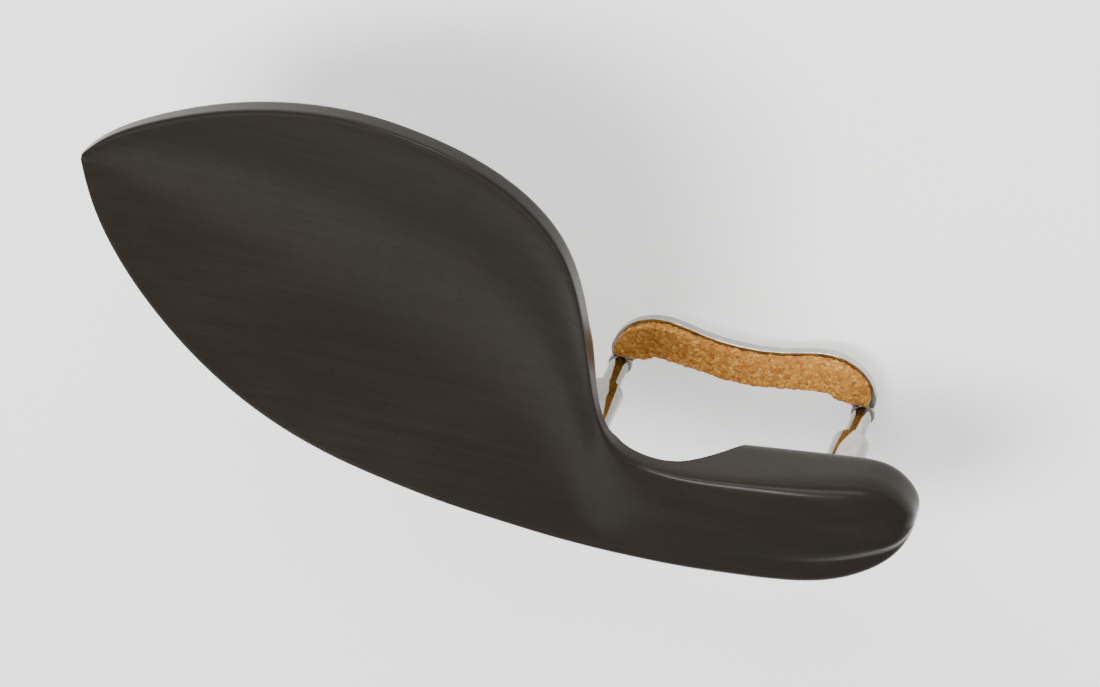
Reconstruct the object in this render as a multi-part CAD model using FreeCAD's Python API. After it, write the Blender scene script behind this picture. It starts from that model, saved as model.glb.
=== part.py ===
import FreeCAD, Part
import math
import os

V = FreeCAD.Vector

# Violin chin rest: an ebony plate and arm held to the violin's edge by a chromed
# turnbuckle clamp.  Millimetres.  +Z is up from the violin's top, +Y points to the
# scroll, +X to the treble side.  The origin lies on the plane of the violin's top,
# midway between the two clamp posts.

# ---- clamp posts and jaw
post_spacing = 40.0          # centre to centre of the two posts
jaw_gap = 34.0               # between the upper and lower cork faces at rest
top_cork = 2.5               # thickness of the two upper cork pads
lower_cork = 2.0             # thickness of the lower cork pad
rod_radius = 1.6             # threaded studs and rods
rod_fit = 0.05               # radial play of a rod in its barrel
collar_lip = 0.35            # forged collar where a rod meets its bracket
collar_height = 0.8
upper_engagement = 6.0       # stud length inside the barrel
lower_engagement = 8.5       # rod length inside the barrel at rest, room to open the jaw by 5

# ---- turnbuckle barrels
barrel_radius = 3.0
barrel_length = 21.0
barrel_shoulder = 2.4        # length of the tapered end
barrel_end_radius = 2.3      # radius of the end face
barrel_bulge = 0.15          # how much slimmer the shoulder is than the middle
stud_show = 7.5              # from the wood's seat down to the barrel's top end
key_hole_radius = 1.1

# ---- upper bracket strip, let into the wood
strip_thickness = 1.6
strip_outer_y = -2.4
strip_inner_y = 4.0
strip_left_reach = 11.0      # strip's left end beyond the left post
strip_right_reach = 4.0      # strip's right end beyond the right post
strip_corner = 2.6
strip_gap = 0.1              # play round the strip in its recess
hump_rise = 3.0              # how high the strip lifts over the tail gut
hump_slope = 4.5             # length of each slope
hump_start = 0.6             # the strip starts to lift this far inside the arch
screw_shank_radius = 1.1
screw_head_radius = 2.2
screw_head_depth = 1.1
screw_length = 6.0
screw_slot_width = 0.6
screw_slot_depth = 0.5
screw_slot_overrun = 0.5     # the slot runs out past the head's edge
left_screw_reach = 7.5       # screw centre beyond the left post
right_screw_reach = -7.0     # screw centre short of the right post

# ---- lower bracket, a bow shaped foot
foot_plate = 1.5             # metal thickness
foot_waist_y = 7.6           # inner edge on the centre line
foot_lobe_y = 9.5            # inner edge at its two lobes
foot_lobe_x = 14.2
foot_end_reach = 1.6         # metal beyond each post
foot_waist_width = 5.9
foot_lobe_width = 6.2
foot_mid_rise = 0.75         # how far the edge has swung out halfway to a lobe
foot_shoulder_x = 4.8        # shoulder beyond each lobe
foot_shoulder_drop = 1.9
foot_tail_drop = 6.0         # where the inner edge reaches the post
foot_tail_round = 0.6
foot_metal_lip = 0.5         # metal left showing round the cork
foot_cork_gap = 0.35         # cork edge to a rod's collar

# ---- wood body
plate_overhang = 72.9        # tip of the plate beyond the left post
arm_overhang = 15.3          # end of the arm beyond the right post
plate_depth = 70.0           # highest y of the plate's rim
rim_height = 24.3            # top of the rim above the violin
seat_depth = 17.8            # y of the inner face of the arm's foot
arch_inner_height = 11.8     # underside of the arm at its inner face
arch_outer_height = 7.6      # and at the player's edge, where the arm is lower
arch_left = -17.5            # where the arch meets the left foot
arch_right = 9.0             # where the arch meets the right foot
left_foot_length = 20.0
left_foot_y = 13.0           # inner edge of the left foot
left_foot_draft = 1.6        # how far the left foot widens at its root
left_foot_root = 8.6         # height at which the foot runs into the plate
left_foot_outer_y = -1.8     # outer edge of the left foot
left_foot_corner = 4.0
left_foot_lean = 1.0         # how far its outer wall leans in under the plate's edge
pad_set_back = 1.3         # more room at the arm, so the pad stays out of sight
pad_margin = 1.2             # cork pad edge to wood edge
pad_corner = 2.5
pad_strip_gap = 0.6
arm_end_undercut = 4.6       # the arm's rounded end overhangs its seat by this much

post_x = post_spacing / 2.0
collar_radius = rod_radius + collar_lip
seat_z = top_cork
strip_top_z = seat_z + strip_thickness
barrel_top_z = seat_z - stud_show - collar_height
barrel_bottom_z = barrel_top_z - barrel_length
foot_cork_z = -jaw_gap
foot_top_z = foot_cork_z - lower_cork
foot_bottom_z = foot_top_z - foot_plate

# The outline below was drawn for these sizes, and is stretched to the ones set above.
drawn_post_x = 20.0
drawn_plate_overhang = 72.9
drawn_arm_overhang = 15.3
drawn_foot_y = 17.8
drawn_arm_y = 16.2           # inner edge of the arm beside the arch
drawn_plate_depth = 70.0
drawn_arm_z = 14.2
drawn_rim_z = 24.3

# Ribs across the body from the tip to the arm's end.  Each rib runs in plan from a
# point on the player's edge to one on the inner edge.
# The underside is never lower than the seat, so a 0 there stands for the seat.
#  player's edge     inner edge      top heights   dish  edge bottoms  belly
ribs = [
    (-93.6, 48.6,    -93.2, 49.9,    14.0, 14.4,   0.0,   11.6, 11.9, 11.6),
    (-93.1, 44.6,    -90.2, 53.3,    13.8, 15.0,   0.4,   10.6, 12.4, 10.9),
    (-91.2, 37.6,    -84.7, 57.3,    13.5, 16.2,   1.4,   9.6, 13.3,  9.7),
    (-86.7, 29.0,    -77.2, 61.5,    13.0, 17.9,   2.8,   8.7, 14.6,  8.3),
    (-80.4, 20.8,    -68.7, 65.5,    12.6, 19.9,   4.2,   8.0, 16.4,  7.2),
    (-72.9, 13.5,    -59.3, 68.5,    12.3, 21.8,   5.4,   7.5, 18.3,  6.4),
    (-64.0, 7.4,     -49.2, 70.0,    12.0, 23.2,   6.2,   7.1, 19.8,  5.8),
    (-53.9, 3.1,     -39.3, 69.1,    11.8, 24.2,   6.5,   6.8, 20.8,  5.5),
    (-44.4, 0.7,     -30.2, 66.5,    11.6, 24.3,   6.3,   6.5, 20.9,  5.4),
    (-36.5, -1.0,    -22.6, 61.6,    11.5, 23.7,   5.7,   6.2, 20.2,  5.4),
    (-29.5, -1.9,    -17.5, 55.0,    11.5, 22.5,   4.8,   5.8, 19.0,  5.4),
    (-23.9, -2.6,    -15.1, 46.7,    11.5, 20.6,   3.7,   5.2, 17.2,  5.4),
    (-19.5, -3.0,    -14.0, 38.1,    11.6, 18.3,   2.5,   4.4, 14.9,  5.2),
    (-16.1, -3.2,    -13.2, 29.6,    11.6, 16.2,   1.4,   3.4, 13.2,  4.6),
    (-13.1, -3.3,    -12.0, 22.4,    11.7, 14.9,   0.5,   2.6, 12.6,  4.0),
    (-9.7, -3.4,     -9.2, 17.5,     11.8, 14.3,   -0.1,  0, 12.1,    0),
    (-4.9, -3.4,     -4.6, 15.6,     11.9, 14.2,   -0.4,  0, 0,       0),
    (2.0, -3.3,      2.0, 15.4,      12.0, 14.2,   -0.6,  0, 0,       0),
    (9.5, -2.6,      9.5, 16.4,      12.1, 14.2,   -0.8,  0, 0,       0),
    (17.0, -1.9,     17.0, 17.3,     12.1, 14.0,   -1.0,  0, 0,       0),
    (23.6, -0.7,     23.8, 18.1,     11.9, 13.2,   -1.3,  0, 0,       0),
    (29.0, 1.7,      30.5, 18.8,     11.2, 11.8,   -1.6,  0, 0,       0),
    (33.3, 5.2,      34.6, 15.2,     9.8, 10.2,    -1.4,  0, 0,       0),
    (35.2, 8.6,      35.6, 12.8,     7.8, 7.8,     -0.6,  3.0, 3.0,   3.0),
    (35.5, 10.2,     35.6, 11.6,     6.2, 6.2,     0.0,   4.4, 4.4,   4.4),
]
# Edge roundings by rib: player's edge and inner edge, from the crisp rim of the plate
# to the full shoulder of the arm's end.
tip_round = (0.8, 0.8)
plate_round = (3.2, 1.4)
arm_round = (4.0, 3.2)
shoulder_round = (4.6, 7.5)
last_round = 0.5
round_share = 0.25         # largest share of a rib that a rounding takes
shoulder_share = 0.36      # the same at the inner edge from rib 18 on
underside_round = 1.6        # how far the underside's edge poles stand in from the wall
wall_share = 0.35            # height of the wall's middle pole, as a share of the wall
# Arch profile from left to right: share of its span, share of its rise.
arch_shape = [(0.0, 0.0), (0.09, 0.55), (0.22, 0.92), (0.45, 1.0), (0.66, 0.9), (0.84, 0.5), (1.0, 0.0)]
arch_near, arch_far = -5.0, 34.0   # the arch is cut right through between these two y


def stretch_x(x):
    """Move an x of the drawn outline to the sizes set above."""
    if x < -drawn_post_x:
        return -post_x + (x + drawn_post_x) * plate_overhang / drawn_plate_overhang
    if x > drawn_post_x:
        return post_x + (x - drawn_post_x) * arm_overhang / drawn_arm_overhang
    return x * post_x / drawn_post_x


def stretch_y(y):
    if y > drawn_foot_y:
        grown = (plate_depth - seat_depth) / (drawn_plate_depth - drawn_foot_y)
        return seat_depth + (y - drawn_foot_y) * grown
    if y > 0:
        return y * seat_depth / drawn_foot_y
    return y


def stretch_z(z):
    if z > drawn_arm_z:
        return drawn_arm_z + (z - drawn_arm_z) * (rim_height - drawn_arm_z) / (drawn_rim_z - drawn_arm_z)
    return z


def blend(a, b, k):
    return a + (b - a) * k


def edge_rounding(index):
    """Player's and inner edge roundings of one rib."""
    last = len(ribs) - 1
    if index <= 4:
        return [blend(tip_round[i], plate_round[i], index / 4.0) for i in (0, 1)]
    if index <= 13:
        return plate_round
    if index <= 18:
        return [blend(plate_round[i], arm_round[i], (index - 13) / 5.0) for i in (0, 1)]
    if index <= 21:
        return [blend(arm_round[i], shoulder_round[i], (index - 18) / 3.0) for i in (0, 1)]
    return [blend(shoulder_round[i], last_round, (index - 21) / float(last - 21)) for i in (0, 1)]


def rib_poles(index):
    """Closed ring of control points of one rib, in its own vertical plane."""
    ax, ay, bx, by, top_a, top_b, dish, low_a, low_b, belly = ribs[index]
    ax, bx = stretch_x(ax), stretch_x(bx)
    ay, by = stretch_y(ay), stretch_y(by)
    top_a, top_b = stretch_z(top_a), stretch_z(top_b)
    low_a, low_b, belly = [max(stretch_z(z), seat_z) for z in (low_a, low_b, belly)]
    width = math.hypot(bx - ax, by - ay)
    round_a, round_b = edge_rounding(index)
    round_a = min(round_a, width * round_share, (top_a - low_a) / 2.0)
    share_b = shoulder_share if index >= 18 else round_share
    round_b = min(round_b, width * share_b, (top_b - low_b) * (share_b + 0.25))
    under = min(underside_round, width / 4.0)

    def at(distance, z):
        k = distance / width
        return V(blend(ax, bx, k), blend(ay, by, k), z)

    ring = [at(0, blend(low_a, top_a, wall_share)), at(0, top_a - round_a), at(0, top_a), at(round_a, top_a)]
    span = width - round_a - round_b
    for k in (0.13, 0.3, 0.5, 0.7, 0.87):
        z = blend(top_a, top_b, k) - dish * math.sin(math.pi * k) ** 0.9
        ring.append(at(round_a + span * k, z))
    ring += [at(width - round_b, top_b), at(width, top_b), at(width, top_b - round_b)]
    ring += [at(width, blend(low_b, top_b, wall_share)), at(width, low_b), at(width - under, low_b)]
    for k in (0.85, 0.68, 0.5, 0.32, 0.15):
        weight = math.sin(math.pi * k) ** 0.5
        z = blend(blend(low_a, low_b, k), belly, weight)
        ring.append(at(width * k, z))
    ring += [at(under, low_a), at(0, low_a)]
    return ring


def rib_surface():
    """One smooth surface over every rib, closed round the section."""
    grid = [rib_poles(i) for i in range(len(ribs))]
    count, around = len(grid), len(grid[0])
    surface = Part.BSplineSurface()
    along_knots = list(range(count - 2))
    along_mults = [4] + [1] * (count - 4) + [4]
    around_knots = list(range(around + 1))
    around_mults = [1] * (around + 1)
    surface.buildFromPolesMultsKnots(
        grid, along_mults, around_mults, along_knots, around_knots, False, True, 3, 3)
    surface.setVNotPeriodic()
    return surface


def closed_by_caps(surface):
    """Solid from a surface that is closed round its section and open at its two ends."""
    start, end, low, high = surface.bounds()
    strips = 4
    steps = [blend(low, high, k / float(strips)) for k in range(strips + 1)]
    faces = []
    rims = {start: [], end: []}
    for a, b in zip(steps, steps[1:]):
        strip = surface.copy()
        strip.segment(start, end, a, b)
        faces.append(strip.toShape())
        for place in rims:
            rims[place].append(strip.uIso(place).toShape())
    for edges in rims.values():
        faces.append(Part.Face(Part.Wire(Part.__sortEdges__(edges))))
    skin = Part.Compound(faces)
    skin.sewShape()
    solid = Part.Solid(skin.Shells[0])
    if solid.Volume < 0:
        solid.reverse()
    return solid


def rounded_rectangle(x0, y0, x1, y1, radius, z):
    """Wire of a rectangle with rounded corners at height z."""
    corners = [(x1 - radius, y0 + radius, -90), (x1 - radius, y1 - radius, 0),
               (x0 + radius, y1 - radius, 90), (x0 + radius, y0 + radius, 180)]
    edges = []
    joints = []
    for cx, cy, start in corners:
        points = []
        for turn in (0, 45, 90):
            angle = math.radians(start + turn)
            points.append(V(cx + radius * math.cos(angle), cy + radius * math.sin(angle), z))
        joints.append(points)
    for index, points in enumerate(joints):
        edges.append(Part.Arc(*points).toShape())
        following = joints[(index + 1) % 4][0]
        edges.append(Part.LineSegment(points[2], following).toShape())
    return Part.Wire(edges)


def left_foot():
    """Boss under the plate that carries the left seat."""
    right = stretch_x(arch_left)
    left = right - left_foot_length
    grow = left_foot_draft
    lower = rounded_rectangle(left, left_foot_outer_y, right, left_foot_y, left_foot_corner, seat_z)
    upper = rounded_rectangle(left - grow, left_foot_outer_y + left_foot_lean, right + grow, left_foot_y + grow,
                              left_foot_corner + grow / 2, left_foot_root)
    return Part.makeLoft([lower, upper], True, True)


def arch_profile(y, height):
    """Closed profile of the arch at one y, open downwards past the seat."""
    left, right = stretch_x(arch_left), stretch_x(arch_right)
    rise, span = height - seat_z, right - left
    points = [V(left + span * k, y, seat_z + rise * h) for k, h in arch_shape]
    roof = Part.BSplineCurve()
    roof.interpolate(points)
    below = -1.0
    corners = [points[-1], V(right, y, below), V(left, y, below), points[0]]
    edges = [roof.toShape()]
    for a, b in zip(corners, corners[1:]):
        edges.append(Part.LineSegment(a, b).toShape())
    return Part.Wire(edges)


def arch_tool():
    """Channel for the tailpiece and its gut, cut along Y under the arm."""
    slope = (arch_inner_height - arch_outer_height) / seat_depth
    profiles = [arch_profile(y, arch_outer_height + slope * y) for y in (arch_near, arch_far)]
    return Part.makeLoft(profiles, True, True)


def strip_ends():
    """X of the strip's two ends."""
    return -post_x - strip_left_reach, post_x + strip_right_reach


def strip_outline(margin):
    """Plan of the strip, grown all round by a margin, as a tall prism."""
    left, right = strip_ends()
    wire = rounded_rectangle(left - margin, strip_outer_y - margin, right + margin,
                             strip_inner_y + margin, strip_corner + margin, -5)
    return Part.Face(wire).extrude(V(0, 0, 40))


def strip_profile(margin, underneath):
    """Side view of the strip, or of the recess that clears it by a margin.

    The strip lifts over the tail gut in the arch.  The recess is open downwards as
    far as `underneath` and leaves its margin at the ends and over the lifted part.
    """
    left, right = strip_ends()
    hump_left = stretch_x(arch_left) + hump_start
    hump_right = stretch_x(arch_right) - hump_start
    high = seat_z + hump_rise
    lower = [(left - margin, seat_z), (hump_left, seat_z), (hump_left + hump_slope, high),
             (hump_right - hump_slope, high), (hump_right, seat_z), (right + margin, seat_z)]
    lean = strip_thickness * math.tan(math.atan2(hump_rise, hump_slope) / 2)
    moves = [(0, 0), (-lean, 0), (-lean, margin), (lean, margin), (lean, 0), (0, 0)]
    upper = [(x + dx, z + strip_thickness + dz) for (x, z), (dx, dz) in zip(lower, moves)]
    if underneath:
        lower = [(lower[0][0], seat_z - underneath), (lower[-1][0], seat_z - underneath)]
    loop = [V(x, 0, z) for x, z in lower + upper[::-1]]
    face = Part.Face(Part.makePolygon(loop + [loop[0]]))
    face.translate(V(0, 2 * strip_outer_y, 0))
    return face.extrude(V(0, 2 * (strip_inner_y - strip_outer_y), 0)).common(strip_outline(margin))


def screw_places():
    return [-post_x - left_screw_reach, post_x + right_screw_reach]


def strip_middle_y():
    return (strip_outer_y + strip_inner_y) / 2.0


def chin_plate():
    """The carved ebony body: plate, arm and both feet."""
    body = closed_by_caps(rib_surface()).fuse(left_foot()).cut(arch_tool())
    body = body.cut(strip_profile(strip_gap, strip_thickness))
    for x in screw_places():
        body = body.cut(Part.makeCylinder(screw_shank_radius, screw_length, V(x, strip_middle_y(), seat_z)))
    return body.removeSplitter()


def upper_bracket():
    """Steel strip across both feet that lifts over the tail gut."""
    strip = strip_profile(0, 0)
    for x in (-post_x, post_x):
        strip = strip.cut(Part.makeCylinder(rod_radius, 10, V(x, 0, seat_z - 5)))
    for x in screw_places():
        place = V(x, strip_middle_y(), seat_z)
        strip = strip.cut(Part.makeCylinder(screw_shank_radius, 10, V(x, strip_middle_y(), seat_z - 5)))
        strip = strip.cut(Part.makeCone(screw_head_radius, screw_shank_radius, screw_head_depth, place))
    return strip


def wood_screw(x):
    """Slotted countersunk screw through the strip into the wood."""
    place = V(x, strip_middle_y(), seat_z)
    head = Part.makeCone(screw_head_radius, screw_shank_radius, screw_head_depth, place)
    shank = Part.makeCylinder(screw_shank_radius, screw_length, place)
    reach = screw_head_radius + screw_slot_overrun
    slot = Part.makeBox(2 * reach, screw_slot_width, screw_slot_depth,
                        V(x - reach, strip_middle_y() - screw_slot_width / 2, seat_z))
    return head.fuse(shank).removeSplitter().cut(slot)


def upper_stud(side):
    """Stud riveted in the strip, with a collar under it."""
    x = side * post_x
    foot = barrel_top_z - upper_engagement
    rod = Part.makeCylinder(rod_radius, strip_top_z - foot, V(x, 0, foot))
    collar = Part.makeCylinder(collar_radius, collar_height, V(x, 0, seat_z - collar_height))
    return rod.fuse(collar).removeSplitter()


def barrel(side):
    """Turnbuckle barrel: a bored spindle with a key hole through its middle."""
    x = side * post_x
    low, high = barrel_bottom_z, barrel_top_z
    shoulder = barrel_radius - barrel_bulge
    middle = (low + high) / 2.0
    profile = [V(0, 0, low), V(barrel_end_radius, 0, low), V(shoulder, 0, low + barrel_shoulder)]
    side_curve = Part.Arc(profile[2], V(barrel_radius, 0, middle), V(shoulder, 0, high - barrel_shoulder))
    upper = [V(shoulder, 0, high - barrel_shoulder), V(barrel_end_radius, 0, high), V(0, 0, high)]
    edges = [Part.LineSegment(a, b).toShape() for a, b in zip(profile, profile[1:])]
    edges.append(side_curve.toShape())
    edges += [Part.LineSegment(a, b).toShape() for a, b in zip(upper, upper[1:])]
    edges.append(Part.LineSegment(upper[-1], profile[0]).toShape())
    spindle = Part.Face(Part.Wire(edges)).revolve(V(0, 0, 0), V(0, 0, 1), 360)
    bore = Part.makeCylinder(rod_radius + rod_fit, barrel_length + 2, V(0, 0, low - 1))
    key = Part.makeCylinder(key_hole_radius, 4 * barrel_radius, V(0, -2 * barrel_radius, middle), V(0, 1, 0))
    spindle = spindle.cut(bore).cut(key)
    spindle.translate(V(x, 0, 0))
    return spindle


def foot_outline(inset):
    """Half of the bow's inner and outer edges, drawn in from the metal's edge.

    The outer edge, on the posts' side, comes in by only a fifth of the inset.
    """
    end_x = post_x + foot_end_reach - inset
    lobe_x = foot_lobe_x * post_x / drawn_post_x
    mid_y = foot_waist_y + foot_mid_rise
    inner = [V(0, foot_waist_y - inset, 0), V(lobe_x / 2, mid_y - inset, 0),
             V(lobe_x, foot_lobe_y - inset, 0),
             V(lobe_x + foot_shoulder_x, foot_lobe_y - foot_shoulder_drop - inset, 0),
             V(end_x, foot_lobe_y - foot_tail_drop - inset / 2, 0)]
    back = inset / 5
    outer = [V(0, foot_waist_y - foot_waist_width + back, 0),
             V(lobe_x / 2, mid_y - foot_waist_width + back, 0),
             V(lobe_x, foot_lobe_y - foot_lobe_width + back, 0)]
    return inner, outer


def mirrored(points):
    return [V(-p.x, p.y, p.z) for p in reversed(points)]


def bow_wire(inner, outer, tail):
    """Closed wire of a bow: a smooth inner edge, a smooth outer edge and two tails."""
    inner_edge = Part.BSplineCurve()
    inner_edge.interpolate(mirrored(inner)[:-1] + inner)
    outer_edge = Part.BSplineCurve()
    outer_edge.interpolate(mirrored(outer)[:-1] + outer)
    right_tail = Part.BSplineCurve()
    right_tail.interpolate([inner[-1]] + tail + [outer[-1]])
    left_tail = Part.BSplineCurve()
    left_tail.interpolate(mirrored([inner[-1]] + tail + [outer[-1]]))
    curves = [inner_edge, right_tail, outer_edge, left_tail]
    return Part.Wire(Part.__sortEdges__([curve.toShape() for curve in curves]))


def lower_bracket():
    """Bow shaped foot that goes under the violin's back."""
    inner, outer = foot_outline(0.0)
    side = foot_end_reach - foot_tail_round
    tail = [V(post_x + side, -foot_tail_round, 0), V(post_x, -collar_radius, 0),
            V(post_x - collar_radius, foot_tail_round, 0)]
    face = Part.Face(bow_wire(inner, outer, tail))
    face.translate(V(0, 0, foot_bottom_z))
    return face.extrude(V(0, 0, foot_plate))


def lower_cork_pad():
    """Cork on the bow, stopping short of the two rods."""
    inner, outer = foot_outline(foot_metal_lip)
    clear = collar_radius + foot_cork_gap
    side = foot_end_reach - foot_metal_lip - foot_tail_round
    tail = [V(post_x + side, clear, 0), V(post_x, clear, 0), V(post_x - clear, clear, 0)]
    face = Part.Face(bow_wire(inner, outer, tail))
    face.translate(V(0, 0, foot_top_z))
    return face.extrude(V(0, 0, lower_cork))


def lower_rod(side):
    """Rod brazed on the end of the bow, which screws into the barrel."""
    x = side * post_x
    top = barrel_bottom_z + lower_engagement
    rod = Part.makeCylinder(rod_radius, top - foot_top_z, V(x, 0, foot_top_z))
    collar = Part.makeCylinder(collar_radius, collar_height, V(x, 0, foot_top_z))
    return rod.fuse(collar).removeSplitter()


def left_top_cork():
    right = stretch_x(arch_left) - pad_margin
    left = stretch_x(arch_left) - left_foot_length + pad_margin
    outer_y, inner_y = strip_inner_y + pad_strip_gap, left_foot_y - pad_margin
    wire = rounded_rectangle(left, outer_y, right, inner_y, pad_corner, 0)
    return Part.Face(wire).extrude(V(0, 0, top_cork))


def right_top_cork():
    left = stretch_x(arch_right) + pad_margin
    right = post_x + arm_overhang - arm_end_undercut - pad_margin
    outer_y, inner_y = strip_inner_y + pad_strip_gap, stretch_y(drawn_arm_y) - pad_margin - pad_set_back
    wire = rounded_rectangle(left, outer_y, right, inner_y, pad_corner, 0)
    return Part.Face(wire).extrude(V(0, 0, top_cork))


parts = {
    "chin_plate": chin_plate(),
    "upper_bracket": upper_bracket(),
    "left_wood_screw": wood_screw(screw_places()[0]),
    "right_wood_screw": wood_screw(screw_places()[1]),
    "left_top_cork": left_top_cork(),
    "right_top_cork": right_top_cork(),
    "lower_bracket": lower_bracket(),
    "lower_cork_pad": lower_cork_pad(),
}
for name, side in (("left", -1), ("right", 1)):
    parts[name + "_upper_stud"] = upper_stud(side)
    parts[name + "_barrel"] = barrel(side)
    parts[name + "_lower_rod"] = lower_rod(side)

os.makedirs("parts", exist_ok=True)
for name, shape in parts.items():
    box = shape.optimalBoundingBox()
    print("%-18s valid %s solids %d volume %.1f mm3  box %.1f %.1f %.1f to %.1f %.1f %.1f" % (
        name, shape.isValid(), len(shape.Solids), shape.Volume,
        box.XMin, box.YMin, box.ZMin, box.XMax, box.YMax, box.ZMax))
    shape.exportStep("parts/%s.step" % name)
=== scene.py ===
import math

import bpy
from mathutils import Matrix, Vector


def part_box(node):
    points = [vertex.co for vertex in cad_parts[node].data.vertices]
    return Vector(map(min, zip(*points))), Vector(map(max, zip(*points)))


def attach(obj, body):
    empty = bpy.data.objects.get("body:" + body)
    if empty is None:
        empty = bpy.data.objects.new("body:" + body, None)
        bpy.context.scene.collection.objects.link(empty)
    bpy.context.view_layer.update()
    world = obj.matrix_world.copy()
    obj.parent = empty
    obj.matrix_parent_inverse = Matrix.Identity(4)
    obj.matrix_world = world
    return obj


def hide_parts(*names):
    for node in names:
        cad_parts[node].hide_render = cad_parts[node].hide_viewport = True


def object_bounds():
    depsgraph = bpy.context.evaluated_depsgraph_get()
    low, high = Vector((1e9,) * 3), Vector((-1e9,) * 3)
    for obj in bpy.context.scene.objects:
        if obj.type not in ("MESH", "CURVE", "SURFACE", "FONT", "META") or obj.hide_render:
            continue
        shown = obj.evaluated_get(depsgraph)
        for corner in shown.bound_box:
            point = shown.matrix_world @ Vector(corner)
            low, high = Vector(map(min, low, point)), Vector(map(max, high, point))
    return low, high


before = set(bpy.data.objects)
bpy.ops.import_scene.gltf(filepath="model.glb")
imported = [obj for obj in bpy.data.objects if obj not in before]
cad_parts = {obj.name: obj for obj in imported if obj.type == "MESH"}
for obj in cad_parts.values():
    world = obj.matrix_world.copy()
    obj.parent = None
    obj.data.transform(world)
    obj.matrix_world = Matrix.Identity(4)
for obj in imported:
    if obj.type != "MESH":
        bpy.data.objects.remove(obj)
cadLow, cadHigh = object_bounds()
scene = bpy.context.scene
mm = 0.001
print("frame loaded")


# small helpers

def clearSelection():
    if bpy.context.object and bpy.context.object.mode != "OBJECT":
        bpy.ops.object.mode_set(mode="OBJECT")
    bpy.ops.object.select_all(action="DESELECT")


def pick(piece):
    clearSelection()
    piece.select_set(True)
    bpy.context.view_layer.objects.active = piece


def editAll(piece):
    pick(piece)
    bpy.ops.object.mode_set(mode="EDIT")
    bpy.ops.mesh.select_all(action="SELECT")


def objectMode():
    bpy.ops.object.mode_set(mode="OBJECT")


def selectWhere(piece, edgeTest=None, faceTest=None):
    # leaves the piece in edit mode with only the matching parts selected
    pick(piece)
    bpy.ops.object.mode_set(mode="EDIT")
    bpy.ops.mesh.select_all(action="DESELECT")
    bpy.ops.mesh.select_mode(type="EDGE" if edgeTest else "FACE")
    objectMode()
    mesh = piece.data
    if edgeTest:
        for edge in mesh.edges:
            a, b = [mesh.vertices[i].co for i in edge.vertices]
            edge.select = edgeTest(a, b)
    if faceTest:
        for face in mesh.polygons:
            face.select = faceTest(face.center, face.normal)
    bpy.ops.object.mode_set(mode="EDIT")


def applyModifier(piece, kind, **settings):
    pick(piece)
    modifier = piece.modifiers.new(kind.lower(), kind)
    for key, value in settings.items():
        setattr(modifier, key, value)
    bpy.ops.object.modifier_apply(modifier=modifier.name)


def cutWith(piece, tool, operation="DIFFERENCE"):
    applyModifier(piece, "BOOLEAN", operation=operation, object=tool, solver="EXACT")
    bpy.data.objects.remove(tool)


def smoothByAngle(piece, degrees=32):
    pick(piece)
    bpy.ops.object.shade_smooth_by_angle(angle=math.radians(degrees))


def copyOfNode(node, name):
    # a merged copy of a CAD solid, with its flat faces made whole again
    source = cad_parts[node]
    piece = source.copy()
    piece.data = source.data.copy()
    scene.collection.objects.link(piece)
    for key in list(piece.keys()):
        del piece[key]
    piece.parent = None
    piece.matrix_world = Matrix.Identity(4)
    piece.name = name
    piece.data.name = name
    editAll(piece)
    bpy.ops.mesh.customdata_custom_splitnormals_clear()
    bpy.ops.mesh.remove_doubles(threshold=0.002 * mm)
    bpy.ops.mesh.dissolve_limited(angle_limit=math.radians(0.6))
    objectMode()
    return piece


def dress(piece, body, slot, material, *nodes):
    piece.data.materials.clear()
    piece.data.materials.append(material)
    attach(piece, body)
    if nodes:
        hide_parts(*nodes)


def srgb(text):
    # sRGB hex to linear
    parts = [int(text[i:i + 2], 16) / 255 for i in (1, 3, 5)]
    return [c / 12.92 if c <= 0.04045 else ((c + 0.055) / 1.055) ** 2.4 for c in parts] + [1.0]


def addNode(tree, kind, settings=None, links=None):
    node = tree.nodes.new(kind)
    for key, value in (settings or {}).items():
        if isinstance(key, str) and hasattr(node, key):
            setattr(node, key, value)
        else:
            node.inputs[key].default_value = value
    for key, source in (links or {}).items():
        tree.links.new(source, node.inputs[key])
    return node


def newMaterial(name):
    material = bpy.data.materials.new(name)
    material.use_nodes = True
    tree = material.node_tree
    tree.nodes.clear()
    shader = addNode(tree, "ShaderNodeBsdfPrincipled")
    addNode(tree, "ShaderNodeOutputMaterial", {}, {"Surface": shader.outputs[0]})
    place = addNode(tree, "ShaderNodeTexCoord")
    inMm = addNode(tree, "ShaderNodeMapping", {"Scale": (1000, 1000, 1000)},
                   {"Vector": place.outputs["Object"]})
    return material, tree, shader, inMm.outputs[0]


def ramp(tree, source, stops):
    node = addNode(tree, "ShaderNodeValToRGB", {}, {"Fac": source})
    band = node.color_ramp
    while len(band.elements) < len(stops):
        band.elements.new(0.5)
    for element, (place, colour) in zip(band.elements, stops):
        element.position = place
        element.color = srgb(colour)
    return node.outputs["Color"]


# camera and studio

cameraSet = {
    "aim": (-23.55, 24.46, 0.0),   # mm, on the plane of the violin's top
    "turn": 19.48,                 # degrees from +Y towards +X
    "elevation": 55.0,
    "roll": 152.03,
    "distance": 600.0,
    "lens": 130.37,
}


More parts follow.
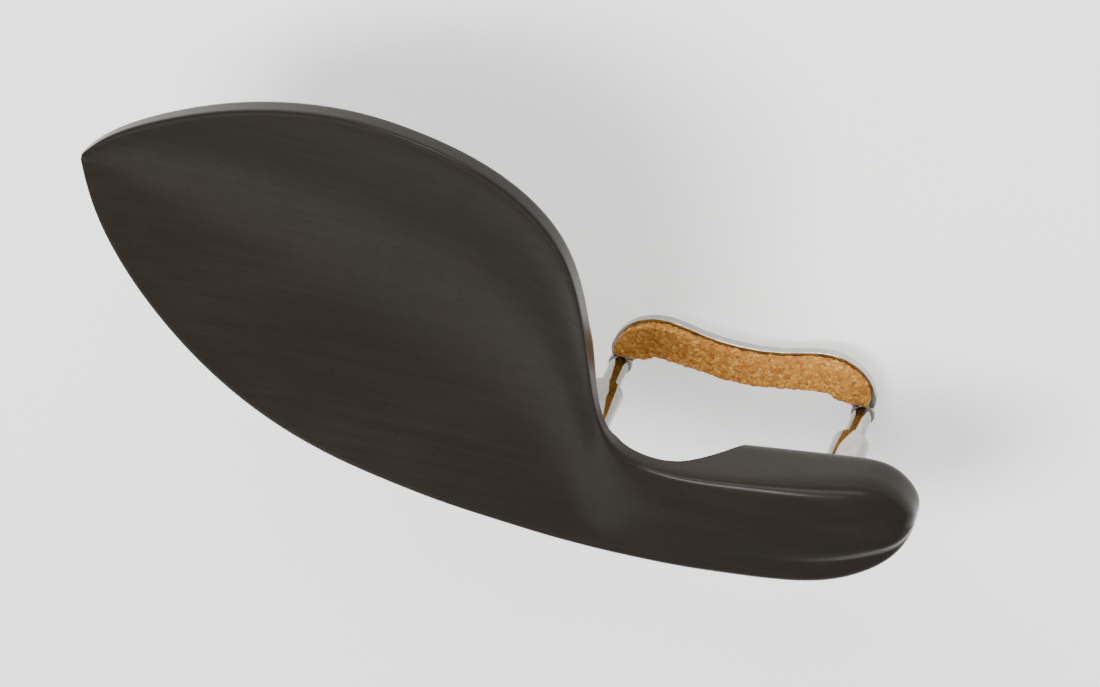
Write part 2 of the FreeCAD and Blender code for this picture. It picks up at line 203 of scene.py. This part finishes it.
def makeCamera():
    turn, lift, roll = [math.radians(cameraSet[k]) for k in ("turn", "elevation", "roll")]
    back = Vector((math.cos(lift) * math.sin(turn), math.cos(lift) * math.cos(turn), math.sin(lift)))
    side = Vector((-math.cos(turn), math.sin(turn), 0))
    up = back.cross(side)
    right = math.cos(roll) * side - math.sin(roll) * up
    top = math.sin(roll) * side + math.cos(roll) * up
    place = (Vector(cameraSet["aim"]) + back * cameraSet["distance"]) * mm
    clearSelection()
    bpy.ops.object.camera_add()
    camera = bpy.context.object
    camera.matrix_world = Matrix.Translation(place) @ Matrix((right, top, back)).transposed().to_4x4()
    camera.data.lens = cameraSet["lens"]
    camera.data.sensor_width = 36
    camera.data.clip_start = 0.01
    scene.camera = camera


studio = {
    "floorSize": 30.0,             # metres
    "floorDrop": 5.2,              # mm below the band, so the clamp can open fully above the floor
    "floorGlow": 0.55,             # a lit acrylic table, so the shadows nearly vanish
    "sky": "#FFFFFF",
    "skyStrength": 0.55,
    # name: place in metres, size in metres, watts
    "boxes": {
        "mainBox": ((-0.17, 0.26, 0.85), (0.44, 0.20), 11),
        "edgeBox": ((-0.1, 0.80, 0.60), (0.7, 0.4), 7),
        "sheenBox": ((-0.60, -0.90, 0.62), (0.6, 0.5), 1.6),
    },
}


def makeStudio():
    low = cadLow.z - studio["floorDrop"] * mm
    clearSelection()
    bpy.ops.mesh.primitive_plane_add(size=studio["floorSize"], location=(0, 0, low))
    floor = bpy.context.object
    floor.name = "floor"
    # pale matt card lit from below: an even, nearly shadowless ground
    material, _, shader, _ = newMaterial("paleMattCard")
    shader.inputs["Base Color"].default_value = srgb("#F4F3F0")
    shader.inputs["Roughness"].default_value = 0.85
    shader.inputs["Emission Color"].default_value = srgb("#FFFFFF")
    shader.inputs["Emission Strength"].default_value = studio["floorGlow"]
    floor.data.materials.append(material)
    world = bpy.data.worlds.new("studio")
    world.use_nodes = True
    background = world.node_tree.nodes["Background"]
    background.inputs["Color"].default_value = srgb(studio["sky"])
    background.inputs["Strength"].default_value = studio["skyStrength"]
    scene.world = world
    aim = (cadLow + cadHigh) / 2
    for name, (place, size, watts) in studio["boxes"].items():
        bpy.ops.object.light_add(type="AREA", location=place)
        light = bpy.context.object
        light.name = name
        light.data.shape = "RECTANGLE"
        light.data.size, light.data.size_y = size
        light.data.energy = watts
        light.rotation_euler = (Vector(place) - aim).to_track_quat("Z", "Y").to_euler()


makeCamera()
makeStudio()
print("camera and studio made")


# materials

def satinEbony():
    # oiled and hand rubbed ebony: near black brown with faint streaks, tiny pores and a soft shine
    material, tree, shader, inMm = newMaterial("satinEbony")
    alongGrain = addNode(tree, "ShaderNodeMapping", {"Scale": (0.035, 0.9, 0.9)}, {"Vector": inMm})
    streaks = addNode(tree, "ShaderNodeTexNoise", {"Scale": 1.0, "Detail": 5.0, "Roughness": 0.55},
                      {"Vector": alongGrain.outputs[0]})
    cloud = addNode(tree, "ShaderNodeTexNoise", {"Scale": 0.045, "Detail": 2.0}, {"Vector": inMm})
    both = addNode(tree, "ShaderNodeMath", {"operation": "MULTIPLY"},
                   {0: streaks.outputs["Fac"], 1: cloud.outputs["Fac"]})
    colour = ramp(tree, both.outputs[0], [(0.10, "#201D19"), (0.25, "#231F1B"), (0.42, "#26221E")])
    # pores are about 0.1 mm wide and 1 mm long, drawn a little coarser
    porePlace = addNode(tree, "ShaderNodeMapping", {"Scale": (0.55, 3.4, 3.4)}, {"Vector": inMm})
    pores = addNode(tree, "ShaderNodeTexVoronoi", {"Scale": 1.0, "Randomness": 1.0},
                    {"Vector": porePlace.outputs[0]})
    poreMask = addNode(tree, "ShaderNodeMapRange", {1: 0.05, 2: 0.16, 3: 0.0, 4: 1.0},
                       {0: pores.outputs["Distance"]})
    darker = addNode(tree, "ShaderNodeMix", {"data_type": "RGBA", 6: srgb("#0B0A08")},
                     {0: poreMask.outputs[0], 7: colour})
    tree.links.new(darker.outputs[2], shader.inputs["Base Color"])
    # rubbing marks change the shine from place to place
    rub = addNode(tree, "ShaderNodeTexNoise", {"Scale": 0.35, "Detail": 6.0, "Roughness": 0.6},
                  {"Vector": inMm})
    shine = addNode(tree, "ShaderNodeMapRange", {1: 0.3, 2: 0.7, 3: 0.19, 4: 0.27},
                    {0: rub.outputs["Fac"]})
    tree.links.new(shine.outputs[0], shader.inputs["Roughness"])
    shader.inputs["IOR"].default_value = 1.5
    shader.inputs["Specular IOR Level"].default_value = 0.08
    fine = addNode(tree, "ShaderNodeTexNoise", {"Scale": 2.2, "Detail": 3.0},
                   {"Vector": alongGrain.outputs[0]})
    waves = addNode(tree, "ShaderNodeBump", {"Strength": 0.22, "Distance": 0.02 * mm},
                    {"Height": fine.outputs["Fac"]})
    pits = addNode(tree, "ShaderNodeBump", {"Strength": 0.3, "Distance": 0.02 * mm},
                   {"Height": poreMask.outputs[0], "Normal": waves.outputs[0]})
    tree.links.new(pits.outputs[0], shader.inputs["Normal"])
    return material


def granulatedCork():
    # pressed cork granules: dull tan crumbs in three tones with dark bark specks between them
    material, tree, shader, inMm = newMaterial("granulatedCork")
    crumbs = addNode(tree, "ShaderNodeTexVoronoi", {"Scale": 1.7, "Randomness": 1.0}, {"Vector": inMm})
    tones = addNode(tree, "ShaderNodeSeparateColor", {}, {0: crumbs.outputs["Color"]})
    grit = addNode(tree, "ShaderNodeTexNoise", {"Scale": 3.4, "Detail": 4.0, "Roughness": 0.7},
                   {"Vector": inMm})
    mixed = addNode(tree, "ShaderNodeMath", {"operation": "MULTIPLY_ADD", 1: 0.45},
                    {0: tones.outputs[0], 2: grit.outputs["Fac"]})
    colour = ramp(tree, mixed.outputs[0], [(0.30, "#5A3210"), (0.42, "#8A5520"), (0.62, "#A56C2C"),
                                           (0.85, "#B98238"), (0.98, "#CFA055")])
    bend = addNode(tree, "ShaderNodeTexNoise", {"Scale": 2.6, "Detail": 2.0}, {"Vector": inMm})
    bent = addNode(tree, "ShaderNodeVectorMath", {"operation": "MULTIPLY_ADD", 1: (0.8, 0.8, 0.8)},
                   {0: bend.outputs["Color"], 2: inMm})
    bark = addNode(tree, "ShaderNodeTexVoronoi", {"Scale": 2.1, "Randomness": 1.0},
                   {"Vector": bent.outputs[0]})
    barkTone = addNode(tree, "ShaderNodeSeparateColor", {}, {0: bark.outputs["Color"]})
    barkPick = addNode(tree, "ShaderNodeMath", {"operation": "GREATER_THAN", 1: 0.66},
                       {0: barkTone.outputs[1]})
    barkNear = addNode(tree, "ShaderNodeMapRange", {1: 0.16, 2: 0.42, 3: 0.8, 4: 0.0},
                       {0: bark.outputs["Distance"]})
    barkMask = addNode(tree, "ShaderNodeMath", {"operation": "MULTIPLY"},
                       {0: barkPick.outputs[0], 1: barkNear.outputs[0]})
    withBark = addNode(tree, "ShaderNodeMix", {"data_type": "RGBA", 7: srgb("#5A3414")},
                       {0: barkMask.outputs[0], 6: colour})
    tree.links.new(withBark.outputs[2], shader.inputs["Base Color"])
    shader.inputs["Roughness"].default_value = 0.9
    shader.inputs["Specular IOR Level"].default_value = 0.25
    seams = addNode(tree, "ShaderNodeTexVoronoi", {"Scale": 1.7, "feature": "DISTANCE_TO_EDGE"},
                    {"Vector": inMm})
    seamHeight = addNode(tree, "ShaderNodeMapRange", {1: 0.0, 2: 0.16}, {0: seams.outputs["Distance"]})
    coarse = addNode(tree, "ShaderNodeBump", {"Strength": 0.6, "Distance": 0.10 * mm},
                     {"Height": seamHeight.outputs[0]})
    crumbly = addNode(tree, "ShaderNodeBump", {"Strength": 0.7, "Distance": 0.08 * mm},
                      {"Height": grit.outputs["Fac"], "Normal": coarse.outputs[0]})
    tree.links.new(crumbly.outputs[0], shader.inputs["Normal"])
    return material


def chromePlate():
    # bright nickel-chrome plating over polished steel: a mirror with a little haze
    material, tree, shader, inMm = newMaterial("chromePlate")
    shader.inputs["Metallic"].default_value = 1.0
    haze = addNode(tree, "ShaderNodeTexNoise", {"Scale": 0.8, "Detail": 4.0}, {"Vector": inMm})
    tint = ramp(tree, haze.outputs["Fac"], [(0.3, "#9F9E9A"), (0.7, "#ADACA7")])
    tree.links.new(tint, shader.inputs["Base Color"])
    shine = addNode(tree, "ShaderNodeMapRange", {1: 0.3, 2: 0.7, 3: 0.05, 4: 0.10},
                    {0: haze.outputs["Fac"]})
    tree.links.new(shine.outputs[0], shader.inputs["Roughness"])
    ripple = addNode(tree, "ShaderNodeTexNoise", {"Scale": 0.5, "Detail": 2.0}, {"Vector": inMm})
    bump = addNode(tree, "ShaderNodeBump", {"Strength": 0.03, "Distance": 0.01 * mm},
                   {"Height": ripple.outputs["Fac"]})
    tree.links.new(bump.outputs[0], shader.inputs["Normal"])
    return material


def turnedScrewSteel():
    # plain turned steel: greyer than the plating, with fine ring marks
    material, tree, shader, inMm = newMaterial("turnedScrewSteel")
    shader.inputs["Metallic"].default_value = 1.0
    marks = addNode(tree, "ShaderNodeTexNoise", {"Scale": 3.0, "Detail": 5.0}, {"Vector": inMm})
    tint = ramp(tree, marks.outputs["Fac"], [(0.3, "#9C9A96"), (0.7, "#BDBBB7")])
    tree.links.new(tint, shader.inputs["Base Color"])
    shine = addNode(tree, "ShaderNodeMapRange", {1: 0.3, 2: 0.7, 3: 0.22, 4: 0.36},
                    {0: marks.outputs["Fac"]})
    tree.links.new(shine.outputs[0], shader.inputs["Roughness"])
    bump = addNode(tree, "ShaderNodeBump", {"Strength": 0.3, "Distance": 0.02 * mm},
                   {"Height": marks.outputs["Fac"]})
    tree.links.new(bump.outputs[0], shader.inputs["Normal"])
    return material


ebony = satinEbony()
cork = granulatedCork()
chrome = chromePlate()
screwSteel = turnedScrewSteel()
print("materials made")


# ebony body

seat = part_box("left_top_cork")[1].z / mm
woodBody = {
    # ribs from the plate's tip to the arm's end, in mm:
    # player's edge x y, inner edge x y, top heights, dish, bottom heights, belly
    "ribs": [
        (-93.6, 48.6, -93.2, 49.9, 14.0, 14.4, 0.0, 11.6, 11.9, 11.6),
        (-93.1, 44.6, -90.2, 53.3, 13.8, 15.0, 0.4, 10.6, 12.4, 10.9),
        (-91.2, 37.6, -84.7, 57.3, 13.5, 16.2, 1.4, 9.6, 13.3, 9.7),
        (-86.7, 29.0, -77.2, 61.5, 13.0, 17.9, 2.8, 8.7, 14.6, 8.3),
        (-80.4, 20.8, -68.7, 65.5, 12.6, 19.9, 4.2, 8.0, 16.4, 7.2),
        (-72.9, 13.5, -59.3, 68.5, 12.3, 21.8, 5.4, 7.5, 18.3, 6.4),
        (-64.0, 7.4, -49.2, 70.0, 12.0, 23.2, 6.2, 7.1, 19.8, 5.8),
        (-53.9, 3.1, -39.3, 69.1, 11.8, 24.2, 6.5, 6.8, 20.8, 5.5),
        (-44.4, 0.7, -30.2, 66.5, 11.6, 24.3, 6.3, 6.5, 20.9, 5.4),
        (-36.5, -1.0, -22.6, 61.6, 11.5, 23.7, 5.7, 6.2, 20.2, 5.4),
        (-29.5, -1.9, -17.5, 55.0, 11.5, 22.5, 4.8, 5.8, 19.0, 5.4),
        (-23.9, -2.6, -15.1, 46.7, 11.5, 20.6, 3.7, 5.2, 17.2, 5.4),
        (-19.5, -3.0, -14.0, 38.1, 11.6, 18.3, 2.5, 4.4, 14.9, 5.2),
        (-16.1, -3.2, -13.2, 29.6, 11.6, 16.2, 1.4, 3.4, 13.2, 4.6),
        (-13.1, -3.3, -12.0, 22.4, 11.7, 14.9, 0.5, 2.6, 12.6, 4.0),
        (-9.7, -3.4, -9.2, 17.5, 11.8, 14.3, -0.1, 0, 12.1, 0),
        (-4.9, -3.4, -4.6, 15.6, 11.9, 14.2, -0.4, 0, 0, 0),
        (2.0, -3.3, 2.0, 15.4, 12.0, 14.2, -0.6, 0, 0, 0),
        (9.5, -2.6, 9.5, 16.4, 12.1, 14.2, -0.8, 0, 0, 0),
        (17.0, -1.9, 17.0, 17.3, 12.1, 14.0, -1.0, 0, 0, 0),
        (23.6, -0.7, 23.8, 18.1, 11.9, 13.2, -1.3, 0, 0, 0),
        (29.0, 1.7, 30.5, 18.8, 11.2, 11.8, -1.6, 0, 0, 0),
        (33.3, 5.2, 34.6, 15.2, 9.8, 10.2, -1.4, 0, 0, 0),
        (35.2, 8.6, 35.6, 12.8, 7.8, 7.8, -0.6, 3.0, 3.0, 3.0),
        (35.5, 10.2, 35.6, 11.6, 6.2, 6.2, 0.0, 4.4, 4.4, 4.4),
    ],
    # edge roundings in mm (player's edge, inner edge) at these ribs
    "roundings": {0: (0.8, 0.8), 4: (3.2, 0.8), 14: (3.2, 0.8), 18: (4.0, 3.2), 21: (4.6, 7.5),
                  24: (0.5, 0.5)},
    "roundShare": 0.25,            # largest share of a rib's width that a rounding takes
    "shoulderShare": 0.36,         # the same at the inner edge, from the rib below on
    "shoulderFrom": 18,
    "extraWallShare": 0.25,        # added to the share where the wall's height limits it
    "underside": 1.6,
    "wallShare": 0.35,
    "levels": 3,
    "arch": [(0.0, 0.0), (0.09, 0.55), (0.22, 0.92), (0.45, 1.0), (0.66, 0.9), (0.84, 0.5), (1.0, 0.0)],
    "archSpan": (-17.5, 9.0),
    "archHeights": (7.6, 11.8),    # at y = 0 and y = 17.8
    "archDepth": 17.8,
    "archReach": (-5.0, 34.0),
    "footX": (-37.5, -17.5),
    "footY": (-1.8, 13.0),
    "footCorner": 4.0,
    "footDraft": 1.6,
    "footRoot": 8.6,
    "footLean": 1.0,               # its outer wall leans in under the plate's edge
    "recessGap": 0.1,
    "recessCorner": 2.7,
    "recessLow": -5.0,
    "stripThickness": 1.6,
    "edgeBevel": 0.25,
}


def mix(a, b, k):
    return a + (b - a) * k


def roundingAt(index):
    keys = sorted(woodBody["roundings"])
    for a, b in zip(keys, keys[1:]):
        if a <= index <= b:
            k = (index - a) / (b - a)
            return [mix(p, q, k) for p, q in zip(woodBody["roundings"][a], woodBody["roundings"][b])]


def ribCage(index):
    # the ring of cage points of one rib, in mm
    ax, ay, bx, by, topA, topB, dish, lowA, lowB, belly = woodBody["ribs"][index]
    lowA, lowB, belly = [max(z, seat) for z in (lowA, lowB, belly)]
    width = math.hypot(bx - ax, by - ay)
    roundA, roundB = roundingAt(index)
    share = woodBody["shoulderShare"] if index >= woodBody["shoulderFrom"] else woodBody["roundShare"]
    roundA = min(roundA, width * woodBody["roundShare"], (topA - lowA) / 2)
    roundB = min(roundB, width * share, (topB - lowB) * (share + woodBody["extraWallShare"]))
    under = min(woodBody["underside"], width / 4)
    wall = woodBody["wallShare"]
    ring = [(0, mix(lowA, topA, wall)), (0, topA - roundA), (0, topA), (roundA, topA)]
    span = width - roundA - roundB
    for k in (0.13, 0.3, 0.5, 0.7, 0.87):
        ring.append((roundA + span * k, mix(topA, topB, k) - dish * math.sin(math.pi * k) ** 0.9))
    ring += [(width - roundB, topB), (width, topB), (width, topB - roundB)]
    ring += [(width, mix(lowB, topB, wall)), (width, lowB), (width - under, lowB)]
    for k in (0.85, 0.68, 0.5, 0.32, 0.15):
        ring.append((width * k, mix(mix(lowA, lowB, k), belly, math.sin(math.pi * k) ** 0.5)))
    ring += [(under, lowA), (0, lowA)]
    return [Vector((mix(ax, bx, d / width), mix(ay, by, d / width), z)) * mm for d, z in ring]


def carvedCage():
    # a grid wrapped round the ribs, its seam merged and its two ends filled
    rings = [ribCage(i) for i in range(len(woodBody["ribs"]))]
    along, around = len(rings) - 1, len(rings[0])
    clearSelection()
    bpy.ops.mesh.primitive_grid_add(x_subdivisions=along, y_subdivisions=around, size=1)
    piece = bpy.context.object
    piece.name = "ebony_body"
    for vertex in piece.data.vertices:
        i = round((vertex.co.x + 0.5) * along)
        k = round((vertex.co.y + 0.5) * around)
        vertex.co = rings[i][k % around]
    editAll(piece)
    bpy.ops.mesh.remove_doubles(threshold=0.001 * mm)
    bpy.ops.mesh.select_all(action="DESELECT")
    bpy.ops.mesh.select_mode(type="EDGE")
    bpy.ops.mesh.select_non_manifold()
    bpy.ops.transform.edge_crease(value=1.0)
    bpy.ops.mesh.fill_holes(sides=0)
    bpy.ops.mesh.select_all(action="SELECT")
    bpy.ops.mesh.normals_make_consistent(inside=False)
    objectMode()
    applyModifier(piece, "SUBSURF", levels=woodBody["levels"], render_levels=woodBody["levels"])
    return piece


def leftFootBlock():
    # a block with rounded corners that widens upwards into the plate
    (x0, x1), (y0, y1) = woodBody["footX"], woodBody["footY"]
    low, high = seat, woodBody["footRoot"]
    clearSelection()
    bpy.ops.mesh.primitive_cube_add(size=1)
    foot = bpy.context.object
    foot.scale = ((x1 - x0) * mm, (y1 - y0) * mm, (high - low) * mm)
    foot.location = ((x0 + x1) / 2 * mm, (y0 + y1) / 2 * mm, (low + high) / 2 * mm)
    bpy.ops.object.transform_apply(location=True, rotation=True, scale=True)
    selectWhere(foot, edgeTest=lambda a, b: abs(a.z - b.z) > mm)
    bpy.ops.mesh.bevel(offset=woodBody["footCorner"] * mm, segments=10)
    grow = woodBody["footDraft"]
    selectWhere(foot, faceTest=lambda centre, normal: normal.z > 0.9)
    lean = woodBody["footLean"]
    middle = ((x0 + x1) / 2 * mm, y0 * mm, high * mm)
    wider, deeper = 1 + 2 * grow / (x1 - x0), 1 + (grow - lean) / (y1 - y0)
    bpy.ops.transform.resize(value=(wider, deeper, 1), center_override=middle)
    bpy.ops.transform.translate(value=(0, lean * mm, 0))
    objectMode()
    return foot


def archRise(k):
    # smooth height of the arch at a share of its span, through the chosen points
    points = woodBody["arch"]
    for i in range(len(points) - 1):
        if points[i][0] <= k <= points[i + 1][0]:
            break
    slopes = []
    for j in (i, i + 1):
        a, b = points[max(j - 1, 0)], points[min(j + 1, len(points) - 1)]
        slopes.append((b[1] - a[1]) / (b[0] - a[0]))
    (k0, h0), (k1, h1) = points[i], points[i + 1]
    step = k1 - k0
    t = (k - k0) / step
    return ((2 * t ** 3 - 3 * t ** 2 + 1) * h0 + (t ** 3 - 2 * t ** 2 + t) * step * slopes[0]
            + (3 * t ** 2 - 2 * t ** 3) * h1 + (t ** 3 - t ** 2) * step * slopes[1])


def archCutter():
    (left, right), (near, far) = woodBody["archSpan"], woodBody["archReach"]
    outer, inner = woodBody["archHeights"]
    steps = 48
    clearSelection()
    bpy.ops.mesh.primitive_grid_add(x_subdivisions=steps, y_subdivisions=1, size=1)
    tool = bpy.context.object
    for vertex in tool.data.vertices:
        k, y = vertex.co.x + 0.5, mix(near, far, vertex.co.y + 0.5)
        height = mix(outer, inner, y / woodBody["archDepth"])
        z = seat + (height - seat) * archRise(min(max(k, 0), 1))
        vertex.co = Vector((mix(left, right, k), y, z)) * mm
    editAll(tool)
    bpy.ops.mesh.extrude_region_move(TRANSFORM_OT_translate={"value": (0, 0, -20 * mm)})
    bpy.ops.mesh.select_all(action="SELECT")
    bpy.ops.mesh.normals_make_consistent(inside=False)
    objectMode()
    return tool


def blockBetween(low, high):
    clearSelection()
    bpy.ops.mesh.primitive_cube_add(size=1)
    block = bpy.context.object
    block.scale = high - low
    block.location = (low + high) / 2
    bpy.ops.object.transform_apply(location=True, rotation=True, scale=True)
    return block


def makeEbonyBody():
    piece = carvedCage()
    cutWith(piece, leftFootBlock(), "UNION")
    cutWith(piece, archCutter())
    # recess for the steel strip
    gap = woodBody["recessGap"] * mm
    low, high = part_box("upper_bracket")
    stripTop = seat * mm + woodBody["stripThickness"] * mm
    tray = blockBetween(Vector((low.x - gap, low.y - gap, woodBody["recessLow"] * mm)),
                        Vector((high.x + gap, high.y + gap, stripTop)))
    selectWhere(tray, edgeTest=lambda a, b: abs(a.z - b.z) > mm)
    bpy.ops.mesh.bevel(offset=woodBody["recessCorner"] * mm, segments=8)
    objectMode()
    cutWith(piece, tray)
    applyModifier(piece, "BEVEL", width=woodBody["edgeBevel"] * mm, segments=2, limit_method="ANGLE",
                  angle_limit=math.radians(38), use_clamp_overlap=True)
    smoothByAngle(piece)
    return piece


body = makeEbonyBody()
dress(body, "rest", "ebony", ebony, "chin_plate")
print("ebony body made", len(body.data.polygons))


# cork pads

corkPads = {
    # node: body, granule grid in mm
    "pads": {
        "lower_cork_pad": ("lower_clamp", 0.22),
        "left_top_cork": ("rest", 0.28),
        "right_top_cork": ("rest", 0.28),
    },
    "crumbSize": 0.7,              # mm
    "crumbDepth": 0.34,
    "gritSize": 0.35,
    "gritDepth": 0.08,
    "fill": 1.0,
}


def crumble(piece, kind, size, depth):
    texture = bpy.data.textures.new(kind.lower() + "Crumbs", kind)
    texture.noise_scale = size * mm
    applyModifier(piece, "DISPLACE", texture=texture, texture_coords="LOCAL", strength=depth * mm,
                  mid_level=0.6)


def makeCorkPad(node):
    owner, grid = corkPads["pads"][node]
    piece = copyOfNode(node, "cork_" + node)
    applyModifier(piece, "REMESH", mode="VOXEL", voxel_size=grid * mm)
    crumble(piece, "VORONOI", corkPads["crumbSize"], corkPads["crumbDepth"])
    crumble(piece, "CLOUDS", corkPads["gritSize"], corkPads["gritDepth"])
    pick(piece)
    bpy.ops.object.shade_smooth()
    dress(piece, owner, "cork", cork, node)
    return piece


for node in corkPads["pads"]:
    pad = makeCorkPad(node)
    print("cork pad made", pad.name, len(pad.data.polygons))


# clamp

clampSet = {
    "postX": 20.0,                 # mm, as are the sizes below
    "rodRadius": 1.6,
    "collarRadius": 1.95,
    "studThreadTop": 1.5,
    "studCollar": (1.7, 2.5),      # from and to, in height
    "rodThreadLength": 9.0,
    "pitch": 0.5,
    "threadDepth": 0.3,
    "sides": 56,
    "bandBevel": 0.45,
    "keyHole": 1.1,
    "boreRadius": 1.65,
    "barrelRadius": 3.0,
    "barrelChamfer": 0.7,
    "stripBevel": 0.3,
}


def turned(name, x, profile, closed=False):
    # a lathe-turned piece round a post: (radius, z) pairs in mm, from one end to the other
    clearSelection()
    radius, z = profile[0]
    bpy.ops.mesh.primitive_circle_add(vertices=clampSet["sides"], radius=radius * mm, fill_type="NOTHING",
                                      location=(x * mm, 0, z * mm))
    piece = bpy.context.object
    piece.name = name
    bpy.ops.object.transform_apply(location=True, rotation=True, scale=True)
    editAll(piece)
    if not closed:
        bpy.ops.mesh.edge_face_add()
        bpy.ops.mesh.select_all(action="SELECT")
    for nextRadius, nextZ in profile[1:] + (profile[:1] if closed else []):
        bpy.ops.mesh.extrude_edges_move(TRANSFORM_OT_translate={"value": (0, 0, (nextZ - z) * mm)})
        grow = nextRadius / radius
        bpy.ops.transform.resize(value=(grow, grow, 1), center_override=(x * mm, 0, nextZ * mm))
        radius, z = nextRadius, nextZ
    if not closed:
        bpy.ops.mesh.edge_face_add()
    bpy.ops.mesh.select_all(action="SELECT")
    bpy.ops.mesh.remove_doubles(threshold=0.002 * mm)
    bpy.ops.mesh.normals_make_consistent(inside=False)
    objectMode()
    return piece


def threadRidge(name, x, radius, low, high, leftHanded=False):
    # a V ridge wound round the post, one pitch of profile screwed upwards
    pitch, depth = clampSet["pitch"], clampSet["threadDepth"]
    turns = int((high - low) / pitch) - 1
    clearSelection()
    bpy.ops.mesh.primitive_circle_add(vertices=4, radius=1, fill_type="NOTHING")
    piece = bpy.context.object
    piece.name = name
    ring = [(radius - depth - 0.1, low), (radius - depth, low), (radius, low + pitch / 2),
            (radius - depth, low + pitch * 0.98)]
    for vertex, (r, z) in zip(piece.data.vertices, ring):
        vertex.co = (r * mm, 0, z * mm)
    turn = -math.tau if leftHanded else math.tau
    applyModifier(piece, "SCREW", axis="Z", angle=turn, screw_offset=pitch * mm, iterations=turns,
                  steps=40, render_steps=40)
    editAll(piece)
    bpy.ops.mesh.remove_doubles(threshold=0.0005 * mm)
    bpy.ops.mesh.select_all(action="DESELECT")
    bpy.ops.mesh.select_mode(type="EDGE")
    bpy.ops.mesh.select_non_manifold()
    bpy.ops.mesh.fill_holes(sides=0)
    bpy.ops.mesh.select_all(action="SELECT")
    bpy.ops.mesh.normals_make_consistent(inside=False)
    bpy.ops.transform.translate(value=(x * mm, 0, 0))
    objectMode()
    return piece


def softenEdges(piece, width, degrees=38, segments=2):
    applyModifier(piece, "BEVEL", width=width * mm, segments=segments, limit_method="ANGLE",
                  angle_limit=math.radians(degrees), use_clamp_overlap=True)
    smoothByAngle(piece)


def makePost(side, x):
    studLow, studHigh = [v.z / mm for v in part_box(side + "_upper_stud")]
    rodLow, rodHigh = [v.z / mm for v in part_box(side + "_lower_rod")]
    barrelLow, barrelHigh = [v.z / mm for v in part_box(side + "_barrel")]
    radius, collar = clampSet["rodRadius"], clampSet["collarRadius"]
    root = radius - clampSet["threadDepth"]
    threadTop = clampSet["studThreadTop"]
    collarLow, collarHigh = clampSet["studCollar"]
    stud = turned(side + "_stud", x, [(root - 0.3, studLow), (root, studLow + 0.3), (root, threadTop),
                                      (radius, threadTop + 0.1), (radius, collarLow),
                                      (collar - 0.1, collarLow), (collar, collarLow + 0.1),
                                      (collar, collarHigh), (radius, collarHigh), (radius, studHigh)])
    smoothByAngle(stud)
    dress(stud, "rest", "chromed_steel", chrome, side + "_upper_stud")
    ridge = threadRidge(side + "_stud_thread", x, radius, studLow + 0.3, threadTop + 0.05, leftHanded=True)
    smoothByAngle(ridge)
    dress(ridge, "rest", "chromed_steel", chrome)
    threadLow = rodHigh - clampSet["rodThreadLength"]
    rod = turned(side + "_rod", x, [(radius, rodLow), (collar, rodLow), (collar, rodLow + 0.65),
                                    (collar - 0.15, rodLow + 0.8), (radius, rodLow + 0.85),
                                    (radius, threadLow), (root, threadLow + 0.2),
                                    (root, rodHigh - 0.3), (root - 0.3, rodHigh)])
    smoothByAngle(rod)
    dress(rod, "lower_clamp", "chromed_steel", chrome, side + "_lower_rod")
    ridge = threadRidge(side + "_rod_thread", x, radius, threadLow + 0.1, rodHigh - 0.3)
    smoothByAngle(ridge)
    dress(ridge, "lower_clamp", "chromed_steel", chrome)
    bore, outer, chamfer = clampSet["boreRadius"], clampSet["barrelRadius"], clampSet["barrelChamfer"]
    sleeve = [(bore + 0.25, barrelLow), (outer - chamfer, barrelLow), (outer, barrelLow + chamfer),
              (outer, barrelHigh - chamfer), (outer - chamfer, barrelHigh), (bore + 0.25, barrelHigh),
              (bore, barrelHigh - 0.25), (bore, barrelLow + 0.25)]
    barrel = turned(side + "_barrel_sleeve", x, sleeve, closed=True)
    middle = (barrelLow + barrelHigh) / 2 * mm
    clearSelection()
    bpy.ops.mesh.primitive_cylinder_add(vertices=40, radius=clampSet["keyHole"] * mm, depth=8 * mm,
                                        location=(x * mm, 0, middle), rotation=(math.pi / 2, 0, 0))
    drill = bpy.context.object
    bpy.ops.object.transform_apply(location=True, rotation=True, scale=True)
    cutWith(barrel, drill)
    softenEdges(barrel, 0.12, 30)
    dress(barrel, side + "_barrel", "chromed_steel", chrome, side + "_barrel")


for side, x in (("left", -clampSet["postX"]), ("right", clampSet["postX"])):
    makePost(side, x)
print("posts and barrels made")

band = copyOfNode("lower_bracket", "bow_band")
softenEdges(band, clampSet["bandBevel"], segments=4)
dress(band, "lower_clamp", "chromed_steel", chrome, "lower_bracket")
strip = copyOfNode("upper_bracket", "seat_strip")
softenEdges(strip, clampSet["stripBevel"])
dress(strip, "rest", "chromed_steel", chrome, "upper_bracket")
for node in ("left_wood_screw", "right_wood_screw"):
    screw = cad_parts[node]
    screw.data.materials.clear()
    screw.data.materials.append(screwSteel)
print("clamp made")
